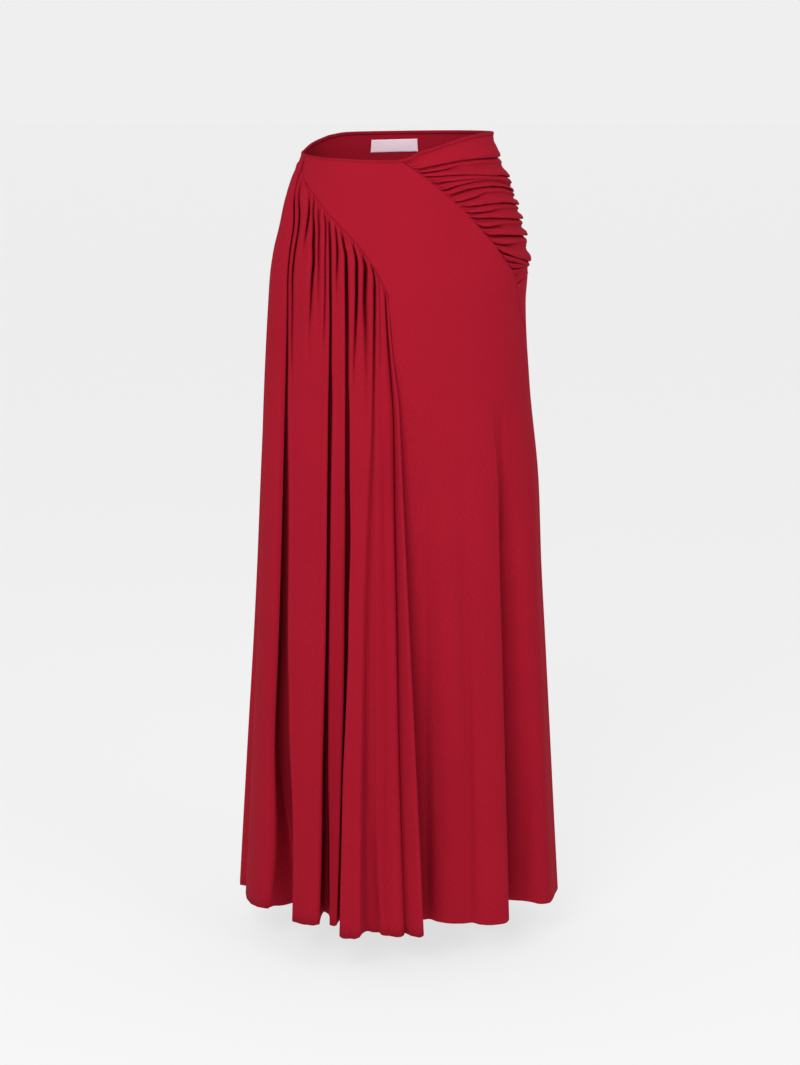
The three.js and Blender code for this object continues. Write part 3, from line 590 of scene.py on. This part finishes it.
def ridgeColumn(k, share):
    def where(heights, top):
        left = foldColumn(k, 1)(heights, top)[0]
        right = foldColumn(k + 1, -1)(heights, top)[0]
        wide = np.maximum(right - left, 0) * 2.7
        deeper = np.maximum(readFold(k, "deep", heights, top), readFold(k + 1, "deep", heights, top))
        bulge = np.minimum(wide * 0.2, 2.6) * 4 * share * (1 - share) * ease((top - heights) / 30) * ease(deeper / 7)
        return mix(left, right, share), folds[k]["ridge"] * growing(heights) - bulge

    return where


def drapeColumns():
    columns = []
    for turn, drift, proud in ((leftSideSeam, 0, -2), (-98, 0, -4), (-96, 0, -6), (-94, 0.2, -5), (-92.5, 0.5, -2)):
        columns.append((turn, lambda heights, top, turn=turn, drift=drift, proud=proud: (
            turn - drift + 0 * heights, proud * growing(heights))))
    deepOnes = ("firstDeep", "middleDeep", "lapDeep")
    for k, this in enumerate(folds):
        near = (0.15, 0.33, 0.54, 0.77, 1)
        if this["name"] in deepOnes:
            near = (0.12, 0.28, 0.45, 0.6, 0.74, 0.86, 0.95, 1)
        before = folds[k - 1]["seam"] if k else leftSideSeam
        after = folds[k + 1]["seam"] if k + 1 < len(folds) else this["seam"] + 1.5
        for side in (*[-n for n in near[::-1]], 0, *near):
            beside = before if side < 0 else after
            apart = min(4.2, abs(beside - this["seam"]) * 0.42)
            columns.append((this["seam"] + side * apart, foldColumn(k, side)))
        if k + 1 < len(folds):
            fromSeam = columns[-1][0]
            toSeam = after - min(4.2, (after - this["seam"]) * 0.42)
            for share in (0.25, 0.5, 0.75):
                columns.append((mix(fromSeam, toSeam, share), ridgeColumn(k, share)))
    return columns


def makeDrape():
    columns = drapeColumns()

    def edgeTurn(heights):
        return read(lastFoldEdge, "height", "turn", heights)

    def lastRidge(heights):
        return read(lastFoldEdge, "height", "ridge", heights) + drape["lip"] * ease((-240 - heights) / 160)

    def innerCut(heights):
        lap = 1.5 * ease((-190 - heights) / 30)
        return frontCut(tuckedSeam(heights), heights) - lap

    edge = drapeSeam["turn"][-1]
    columns.append((edge - 0.7, lambda h, top: (
        edgeTurn(h) - mix(0.75, 1.6, ease((-186 - h) / 700)), lastRidge(h) + 1.0 * growing(h))))
    columns.append((edge - 0.55, lambda h, top: (edgeTurn(h) - mix(0.55, 0.9, ease((-186 - h) / 700)), lastRidge(h))))
    columns.append((edge - 0.4, lambda h, top: (edgeTurn(h) - 0.35, lastRidge(h) + 0.2)))
    columns.append((edge - 0.3, lambda h, top: (edgeTurn(h) - 0.05, lastRidge(h) + 1.2)))
    columns.append((edge - 0.22, lambda h, top: (
        mix(edgeTurn(h), tuckedSeam(h), 0.1), mix(lastRidge(h) + 2, innerCut(h), 0.25))))
    columns.append((edge - 0.12, lambda h, top: (
        mix(edgeTurn(h), tuckedSeam(h), 0.5), mix(lastRidge(h) + 2, innerCut(h), 0.65))))
    columns.append((edge, lambda h, top: (tuckedSeam(h), innerCut(h))))

    count = drape["rows"]
    j = np.arange(count)
    fractions = (np.exp(drape["crowding"] * j / (count - 1)) - 1) / (math.exp(drape["crowding"]) - 1)
    grid = np.empty((len(columns), count, 3))
    below = np.empty((len(columns), count))
    for i, (seam, where) in enumerate(columns):
        top = float(drapeTop(np.array(float(seam))))
        heights = mix(top, hemHeight, fractions)
        turn, cut = where(heights, top)
        turn[0], cut[0] = seam, 0
        puff = drape["puff"] * ease((top - heights) / 26) * ease((heights + 700) / 400)
        gathered = ease((turn + 84) / 12) * ease((-6 - turn) / 6 + 0.4)
        toHem = mix(ease((heights + 1010) / 240), 1, ease((turn + 40) / 5))
        straightBack = ease((turn + 80) / 20) * ease((top - heights) / 60) * toHem
        grid[i] = place(turn, heights, cut - puff * gathered, 1 - straightBack)
        below[i] = top - heights
    grid = refine(grid, drape["down"], 1)
    below = refine(below[..., None], drape["down"], 1)[..., 0]
    seamLine = np.array([c[0] for c in columns])
    normal = normalsOf(grid)
    across = lengthsAlong(grid[:, :1], 0)[:, :1]
    onGathers = ease((seamLine + 76) / 6)[:, None] * ease((-5 - seamLine) / 2 + 0.6)[:, None]
    # Small puckers right under the seam, uneven in length.
    reach = np.maximum(11 + 8 * waver(across, 5, 0.12), 5)
    fading = ease(below / 6) * np.exp(-np.maximum(below, 0) / reach)
    small = drape["pucker"] * gathers(across, drape["pitch"], 1.3) * fading
    # The cloth turns in at its seam.
    turnIn = drape["turnIn"] * np.exp(-below / 1.6) * onGathers
    beside = ((seamLine[:, None] - drape["nubTurn"]) / 3.4) ** 2
    nub = drape["nub"] * np.exp(-beside - ((below - 13) / 4.4) ** 2)
    notch = drape["notch"] * np.exp(-beside - ((below - 5.5) / 2.6) ** 2)
    return grid + normal * ((small * onGathers) + turnIn + nub + notch)[..., None]


drapePoints = roundHem(makeDrape(), drape["hemLift"], drape["hemSpread"])
for beside, lift, spread in zip(*hemRises.values()):
    near = ease((hemHeight + hemZone - drapePoints[..., 2]) / hemZone)
    drapePoints[..., 2] += lift * near * np.exp(-((drapePoints[..., 0] - beside) / spread) ** 2)
drapePiece = sheetPiece("leftDrape", drapePoints, drape["thickness"], redCloth)
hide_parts("left_drape")
print("left drape made", round(areaOf(drapePoints), 3), drapePoints.shape)

# The ruched yoke: each furrow's height on the front seam and at the side, its depth, and the turn
# by which it has faded.
yoke = {
    "thickness": 0.8, "across": 46, "amplitude": 2.0,
    "tip": 0.84, "droop": 0.4,  # where between two furrows a fold stands out most, and how far it sags there
    "pucker": 6, "pitch": 6.2, "roll": -0.9, "faint": 0.4,
    "steps": (0, 0.07, 0.18, 0.32, 0.46, 0.6, 0.72, 0.82, 0.9, 0.96),
}
yokeFolds = table(
    "seam side depth reach",
    (-30, -17, 4.5, 140),
    (-34.5, -27, 4, 36),
    (-39, -42, 5.5, 140),
    (-46.5, -50.5, 4, 140),
    (-55.5, -56, 5, 46),
    (-63, -61.5, 6, 140),
    (-71, -69, 4.5, 52),
    (-77, -78, 6, 140),
    (-84, -86, 4, 62),
    (-90, -95, 6, 140),
    (-99.5, -105, 4.5, 62),
    (-109.5, -116, 6.5, 140),
    (-122, -130, 4.5, 70),
    (-131, -149, 8, 140),
    (-143, -157, 5, 94),
    (-154, -160.5, 4, 80),
    (-165, -163.5, 3, 76),
)


# How far a fold stands out between one furrow and the next: a slow rise, then a sharp tuck under.
def foldOut(q):
    rise = math.sin(math.pi / 2 * min(q / yoke["tip"], 1) ** 1.9)
    tuck = math.cos(math.pi / 2 * max(q - yoke["tip"], 0) / (1 - yoke["tip"])) ** 0.8
    return float(rise * tuck)


def makeYoke():
    u = np.linspace(0, 1, yoke["across"] + 1)
    shares = mix(u ** 1.7, u, 0.25)
    gapTurn = math.degrees(seamGap / 150)
    topTurns = mix(1.1, yokeBackSeam["turn"][0] - 0.4, shares)
    lines = [(topTurns, waistHeight(topTurns) - edgeHeight - edgeGap, 0 * topTurns)]
    for k, (seam, side, depth, reach) in enumerate(zip(*yokeFolds.values())):
        start = float(read(rightSeam, "height", "turn", seam)) + gapTurn
        end = float(straight(yokeBackSeam, "height", "turn", side)) - gapTurn * 3
        turns = mix(start, end, shares)
        run = np.clip((turns - start) / (90 - start), 0, 1)
        fade = 1 - ease((turns - reach + 20) / 20)
        uneven = 1 + 0.32 * waver(turns, 40 + k, 0.075)
        wander = 0.8 * waver(turns, 60 + k, 0.05) * ease((turns - start) / 12) * (1 - ease((turns - 96) / 12))
        # Those in the middle arch upwards on their way to the side.
        arch = (2 + 9 * math.exp(-((seam + 60) / 22) ** 2)) * np.sin(math.pi * run ** 0.8)
        lines.append((turns, mix(seam, side, 1 - (1 - run) ** 2.1) + wander + arch, depth * fade * uneven))
    lowTurns = mix(yokeLowerEdge["turn"][0] + 0.2, yokeLowerEdge["turn"][-1] - 0.2, shares)
    lines.append((lowTurns, straight(yokeLowerEdge, "turn", "height", lowTurns) + seamGap, 0.5 + 0 * lowTurns))
    rows = []
    start = ease(shares / 0.07 + 0.3) * (1 - ease((shares - 0.94) / 0.06))
    for k in range(len(lines) - 1):
        here, there = lines[k], lines[k + 1]
        for q in yoke["steps"]:
            turn = mix(here[0], there[0], q)
            deep = mix(here[2], there[2], q) * yoke["amplitude"]
            out = foldOut(q)
            # No deeper than the room between the two furrows allows.
            room = np.abs(here[1] - there[1]) * 0.9
            deep = np.minimum(deep, np.maximum(room, 2.5))
            cut = (0.55 * deep - deep * out) * start
            sag = yoke["droop"] * deep * math.exp(-((q - 0.88) / 0.13) ** 2) * start
            rows.append(place(turn, mix(here[1], there[1], q) - sag, cut))
    rows.append(place(lines[-1][0], lines[-1][1], 0.3 * start))
    points = refine(np.stack(rows, 1), 2, 0)
    points = refine(points, 2, 1)
    normal = normalsOf(points)
    fromFront = lengthsAlong(points, 0)
    down = lengthsAlong(points[:1], 1)
    long = np.maximum(14 + 8 * waver(down, 17, 0.11), 8.5)
    pucker = yoke["pucker"] * gathers(down, yoke["pitch"], 2.1, 1.1) * np.exp(-fromFront / long) * ease(fromFront / 4)
    roll = yoke["roll"] * np.exp(-fromFront / 1.2)
    faint = yoke["faint"] * waver(lengthsAlong(points, 1) + 0.15 * fromFront, 31, 0.5) * ease(fromFront / 30)
    return points + normal * (pucker + roll + faint)[..., None]


yokePoints = makeYoke()
yokePiece = sheetPiece("hipYoke", yokePoints, yoke["thickness"], redCloth)
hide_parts("hip_yoke")
print("hip yoke made", round(areaOf(yokePoints), 3), yokePoints.shape)

# The back: soft folds that grow to the hem.
back = {"thickness": 0.9, "across": 4, "rows": 60, "crowding": 1.3, "tuck": 1.5, "hemLift": 5, "hemSpread": 5}
backFolds = table(
    "turn drift start low deep half",
    (112, 2, -330, 8, 22, 7.5),
    (131, -1, -260, 14, 34, 8),
    (151, 3, -420, 7, 24, 7.5),
    (172, -2, -240, 16, 38, 9),
    (194, 2, -380, 9, 27, 8),
    (215, -3, -290, 15, 36, 8.5),
    (237, 2, -350, 9, 24, 8),
)


def backCut(turn, height):
    # A little proud between the side seams, level with its neighbours at them.
    proud = mix(0, 4, ease((turn - 98) / 12)) - 2 * ease((turn - 250) / 10)
    cut = -proud * ease((-300 - height) / 700)
    for centre, drift, start, low, deep, half in zip(*backFolds.values()):
        middle = centre + drift * np.clip((-600 - height) / 416, -1, 1)
        wide = half * mix(0.75, 1, np.clip(-height / 1016, 0, 1))
        away = np.minimum(np.abs(turn - middle) / wide, 1)
        knee = ease((start - height) / (700 + start))
        foot = np.clip((-700 - height) / 316, 0, 1)
        cut = cut + (low * knee + (deep - low) * foot + 4 * foot) * (0.5 + 0.5 * np.cos(np.pi * away))
    return cut


def makeBack():
    tops = np.array([65, 78, 90, 100, 106, 113, 120, 126])
    hems = np.array([98, 99.5, 101.5, 103.5, 105.6, 108.8, 112, 116])
    freeHems = np.linspace(119.5, 259.8, 50)
    tops = np.concatenate([tops, freeHems + 4.5 * np.clip((139 - freeHems) / 16, 0, 1.7)])
    hems = np.concatenate([hems, freeHems])
    tops = refine(tops[:, None].astype(float), back["across"], 0)[:, 0]
    hems = refine(hems[:, None].astype(float), back["across"], 0)[:, 0]
    count = back["rows"] * 2
    j = np.arange(count)
    fractions = (np.exp(back["crowding"] * j / (count - 1)) - 1) / (math.exp(back["crowding"]) - 1)
    grid = np.empty((len(tops), count, 3))
    for i, (top, hem) in enumerate(zip(tops, hems)):
        if top <= 100:
            start = float(straight(yokeLowerEdge, "turn", "height", top))
        elif top < yokeBackSeam["turn"][0]:
            start = float(straight(yokeBackSeam, "turn", "height", top))
        else:
            start = float(waistHeight(top)) - edgeHeight - edgeGap
        heights = mix(start, hemHeight, fractions)
        part = np.maximum(0, (read(rightSeam, "height", "turn", heights) - 65) / 33)
        turn = mix(top, hem, np.clip(part, 0, 1))
        # Both side edges are turned in, just under the edges beside them.
        tucked = 0
        if i == 0:
            turn, tucked = turn - 0.12, back["tuck"]
        if i == len(tops) - 1:
            turn, tucked = turn + 0.35, back["tuck"]
        grid[i] = place(turn, heights, backCut(turn, heights) + tucked * ease((start - heights - 4) / 12))
    return grid


backPoints = roundHem(makeBack(), back["hemLift"], back["hemSpread"])
backPiece = sheetPiece("backPanel", backPoints, back["thickness"], redCloth)
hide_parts("back_panel")
print("back panel made", round(areaOf(backPoints), 3), backPoints.shape)

# The narrow edge: a strip folded over the top of the cloth, all the way round the waist.
edge = {"thickness": 0.6, "thick": 2.3, "tall": 3.7, "steps": 480}


def makeEdge():
    turns = np.linspace(-180, 180, edge["steps"] + 1)
    height = waistHeight(np.where(turns < -130, turns + 360, turns))
    middle = place(turns, height, 0)
    ahead = place(turns + 1, height, 0) - place(turns - 1, height, 0)
    outward = np.stack([ahead[:, 1], -ahead[:, 0], 0 * turns], -1)
    outward /= np.linalg.norm(outward, axis=1, keepdims=True)
    half = edge["thick"] / 2
    side = [(half * 0.8, -edge["tall"]), (half, -edge["tall"] * 0.8), (half * 1.06, -edge["tall"] * 0.5)]
    over = [(half * math.cos(a), half * math.sin(a) * 0.8 - half * 0.8) for a in np.linspace(0, math.pi, 9)]
    section = side + over + [(-x, z) for x, z in reversed(side)]
    rings = []
    for out, up in section:
        point = middle + outward * out
        point[:, 2] = height + up
        rings.append(point)
    return np.stack(rings, 1)


edgePoints = makeEdge()
waistPiece = sheetPiece("waistEdge", edgePoints, edge["thickness"], redEdge)
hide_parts("waist_edge")
print("waist edge made", round(areaOf(edgePoints), 5))

# The bare label on the back's inside.
label = {
    "thickness": 0.4, "first": 169, "last": 198, "top": 1.2, "tall": 16.7, "tilt": -1.5,
    "off": 1.05, "cushion": 0.25,  # how far inside the back it lies, and how much its middle stands off
    "weave": 900, "dark": (0.76, 0.58, 0.665, 1), "light": (0.83, 0.66, 0.745, 1),
}


def satin():
    material = bpy.data.materials.new("pink_label")
    material.use_nodes = True
    nodes, links = material.node_tree.nodes, material.node_tree.links
    shader = nodes["Principled BSDF"]
    shader.inputs["Roughness"].default_value = 0.55
    shader.inputs["Specular IOR Level"].default_value = 0.35
    coords = nodes.new("ShaderNodeTexCoord")
    weave = nodes.new("ShaderNodeTexWave")
    weave.wave_type = "BANDS"
    weave.bands_direction = "Y"
    weave.inputs["Scale"].default_value = label["weave"]
    weave.inputs["Distortion"].default_value = 0.6
    links.new(coords.outputs["UV"], weave.inputs["Vector"])
    ramp = nodes.new("ShaderNodeValToRGB")
    ramp.color_ramp.elements[0].color = label["dark"]
    ramp.color_ramp.elements[1].color = label["light"]
    links.new(weave.outputs["Fac"], ramp.inputs["Fac"])
    links.new(ramp.outputs["Color"], shader.inputs["Base Color"])
    bump = nodes.new("ShaderNodeBump")
    bump.inputs["Strength"].default_value = 0.2
    bump.inputs["Distance"].default_value = 0.0002
    links.new(weave.outputs["Fac"], bump.inputs["Height"])
    links.new(bump.outputs["Normal"], shader.inputs["Normal"])
    return material


def makeLabel():
    turns = np.linspace(label["first"], label["last"], 40)[:, None]
    share = np.linspace(0, 1, 14)[None, :]
    sideways = (turns - label["first"]) / (label["last"] - label["first"])
    height = label["top"] - label["tall"] * share + label["tilt"] * sideways
    cushion = label["cushion"] * np.sin(np.pi * share) * np.sin(np.pi * sideways)
    return place(turns, height, label["off"] + label["thickness"] / 2 + cushion)


labelPiece = sheetPiece("bareLabel", makeLabel(), label["thickness"], satin())
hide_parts("label")
print("label made")


# A large pale floor, itself faintly lit, so that the shadow on it stays light.
studio = {"floor": -1.07, "reach": 40.0, "tone": 0.19, "glow": 0.703}
floorMesh = bpy.data.meshes.new("studioFloor")
bm = bmesh.new()
bmesh.ops.create_grid(bm, x_segments=4, y_segments=4, size=studio["reach"])
for vert in bm.verts:
    vert.co.z = studio["floor"]
bm.to_mesh(floorMesh)
bm.free()
floor = bpy.data.objects.new("studioFloor", floorMesh)
bpy.context.collection.objects.link(floor)
pale = bpy.data.materials.new("studio_floor")
pale.use_nodes = True
shader = pale.node_tree.nodes["Principled BSDF"]
shader.inputs["Base Color"].default_value = (*[studio["tone"]] * 3, 1)
shader.inputs["Roughness"].default_value = 0.95
shader.inputs["Specular IOR Level"].default_value = 0.1
shader.inputs["Emission Color"].default_value = (1, 1, 1, 1)
shader.inputs["Emission Strength"].default_value = studio["glow"]
floorMesh.materials.append(pale)

# One broad soft light, high at the front and to the left, and a weaker one from the right for the yoke.
lights = {
    "key": {"at": (-0.8, -2.6, 1.15), "aim": (0, 0, -0.3), "size": 1.5, "watts": 68},
    "side": {"at": (1.8, -1.7, 1.3), "aim": (0.1, 0, -0.1), "size": 1.2, "watts": 21},
}
for name, light in lights.items():
    lampData = bpy.data.lights.new(name, "AREA")
    lampData.energy = light["watts"]
    lampData.shape = "SQUARE"
    lampData.size = light["size"]
    lamp = bpy.data.objects.new(name, lampData)
    lamp.location = light["at"]
    lamp.rotation_euler = (Vector(light["aim"]) - Vector(light["at"])).to_track_quat("-Z", "Y").to_euler()
    bpy.context.collection.objects.link(lamp)

# The room: as pale as the floor at the horizon, dimmer overhead and on the side the light comes from.
room = {"horizon": 0.863, "overhead": 0.8, "ahead": 0.16, "aheadFrom": -0.85, "from": 0.13, "to": 0.38}
world = bpy.data.worlds.new("studio")
world.use_nodes = True
nodes, links = world.node_tree.nodes, world.node_tree.links
coords = nodes.new("ShaderNodeTexCoord")
split = nodes.new("ShaderNodeSeparateXYZ")
links.new(coords.outputs["Generated"], split.inputs["Vector"])
ahead = nodes.new("ShaderNodeMapRange")
ahead.interpolation_type = "SMOOTHSTEP"
ahead.inputs["From Min"].default_value = room["aheadFrom"]
ahead.inputs["From Max"].default_value = 0
ahead.inputs["To Min"].default_value = room["ahead"]
ahead.inputs["To Max"].default_value = room["overhead"]
links.new(split.outputs["Y"], ahead.inputs["Value"])
rise = nodes.new("ShaderNodeMapRange")
rise.interpolation_type = "SMOOTHSTEP"
rise.inputs["From Min"].default_value = room["from"]
rise.inputs["From Max"].default_value = room["to"]
links.new(split.outputs["Z"], rise.inputs["Value"])
sky = nodes.new("ShaderNodeMix")
sky.inputs["A"].default_value = room["horizon"]
links.new(rise.outputs["Result"], sky.inputs["Factor"])
links.new(ahead.outputs["Result"], sky.inputs["B"])
links.new(sky.outputs["Result"], nodes["Background"].inputs["Strength"])
nodes["Background"].inputs["Color"].default_value = (1, 1, 1, 1)
bpy.context.scene.world = world
bpy.context.scene.view_settings.view_transform = "Standard"
print("studio set")
